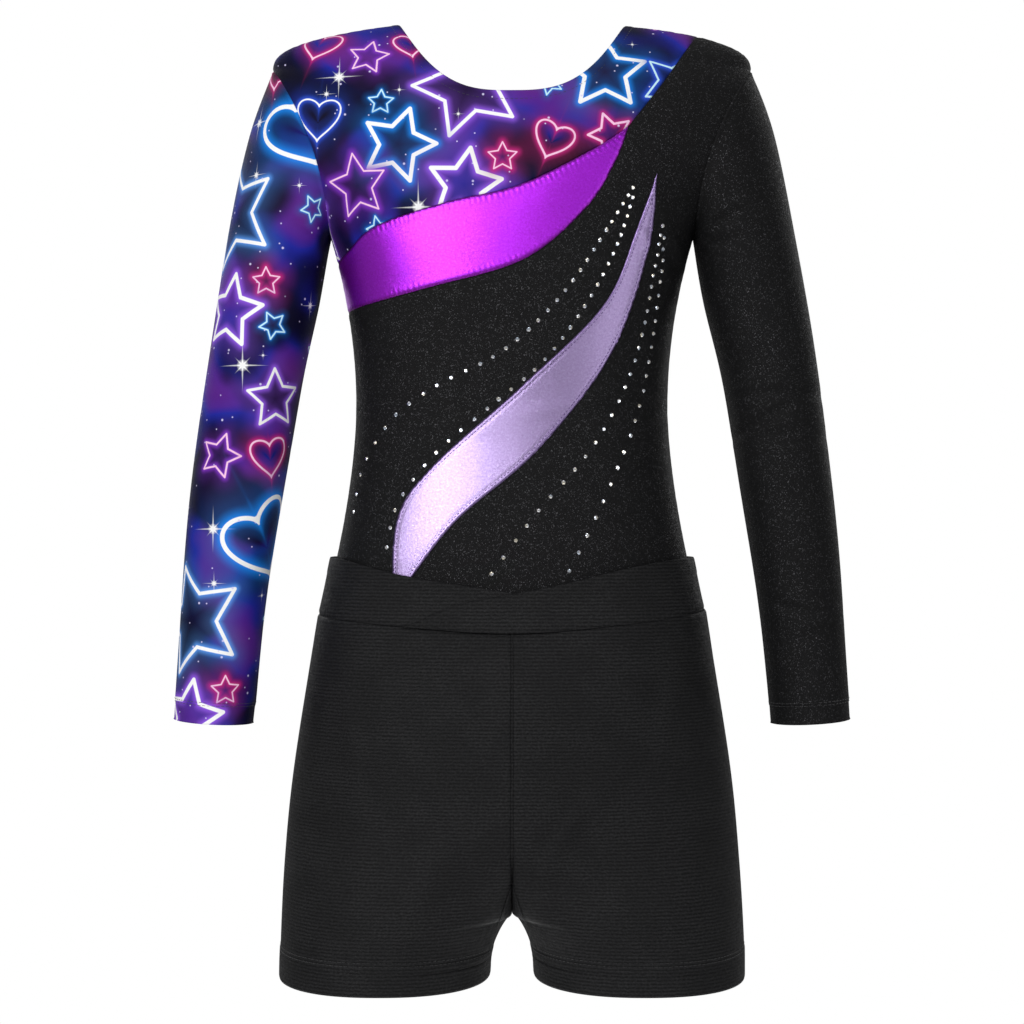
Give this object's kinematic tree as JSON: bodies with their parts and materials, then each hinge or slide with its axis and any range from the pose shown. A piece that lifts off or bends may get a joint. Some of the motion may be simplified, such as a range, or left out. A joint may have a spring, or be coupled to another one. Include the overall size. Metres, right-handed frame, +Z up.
{
  "type": "gymnastics leotard",
  "caption": "Child's long-sleeved scoop-neck gymnastics leotard with colour-blocked front, worn with matching crossover-waist shorts.",
  "frame": {"origin": "midway between the two high shoulder points, where the shoulder seams reach the neck opening", "axes": "+Z up along the body, front of the garment faces -Y, +X towards the wearer's left"},
  "size_m": [0.419, 0.1566, 0.586],
  "materials": {
    "neon_print": "printed stretch knit: deep blue and purple ground with glowing outlined stars and hearts",
    "purple_foil": "vivid purple foiled stretch knit, satin to mirror-like sheen",
    "lilac_foil": "pale lilac foiled stretch knit with fine grain",
    "black_sparkle": "black stretch nylon with fine grey sparkle",
    "black_satin": "black satin-matte stretch knit with very fine ribs",
    "elastic_tape": "woven elastic, matte",
    "lining_knit": "thin matte knit lining",
    "woven_label": "blank woven satin label",
    "rhinestone": "clear faceted flat-back stones"
  },
  "bodies": {
    "leotard": {"front_yoke": "neon_print", "back_yoke": "neon_print", "bright_band": "purple_foil", "front_body": "black_sparkle", "back_body": "black_sparkle", "lower_swoosh": "lilac_foil", "neck_elastic": "elastic_tape", "right_leg_elastic": "elastic_tape", "left_leg_elastic": "elastic_tape", "crotch_lining": "lining_knit", "size_label": "woven_label", "care_label": "woven_label"},
    "right_sleeve": {"right_sleeve": "neon_print"},
    "left_sleeve": {"left_sleeve": "black_sparkle"},
    "shorts": {"waistband_over": "black_satin", "waistband_under": "black_satin", "waist_elastic": "elastic_tape", "shorts_right_leg": "black_satin", "shorts_left_leg": "black_satin", "shorts_gusset": "black_satin", "shorts_label": "woven_label"}
  },
  "joints": [
    {"name": "right_arm_raise", "type": "hinge", "parent": "leotard", "child": "right_sleeve", "pos_m": [-0.148, 0, -0.0285], "axis": [0, 1, 0], "range_deg": [0, 90]},
    {"name": "left_arm_raise", "type": "hinge", "parent": "leotard", "child": "left_sleeve", "pos_m": [0.148, 0, -0.0285], "axis": [0, -1, 0], "range_deg": [0, 90]},
    {"name": "shorts_pull_off", "type": "slide", "parent": "leotard", "child": "shorts", "axis": [0, 0, -1], "range_m": [0, 0.25]}
  ]
}
